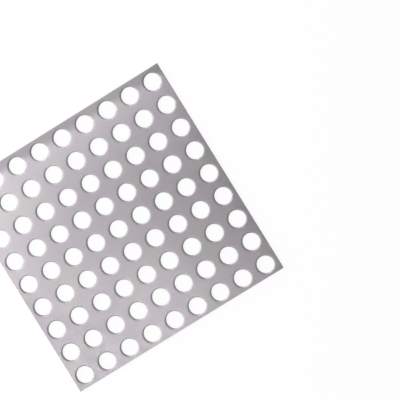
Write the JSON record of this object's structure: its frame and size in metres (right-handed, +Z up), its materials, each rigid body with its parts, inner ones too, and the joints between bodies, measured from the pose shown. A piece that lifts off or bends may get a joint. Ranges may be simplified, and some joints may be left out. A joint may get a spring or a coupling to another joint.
{
  "type": "perforated metal sheet",
  "caption": "Square of flat perforated metal sheet with large round holes on a straight grid, plain sheared edges, satin grey.",
  "frame": {"origin": "centre of the sheet's outline, on its lower face", "axes": "+X along the rows of holes, +Y from row to row, +Z up out of the punched side"},
  "size_m": [0.108, 0.1076, 0.002],
  "materials": {
    "sheet_metal": "satin, bare"
  },
  "bodies": {
    "root": {"perforated_sheet": "sheet_metal"}
  },
  "joints": []
}
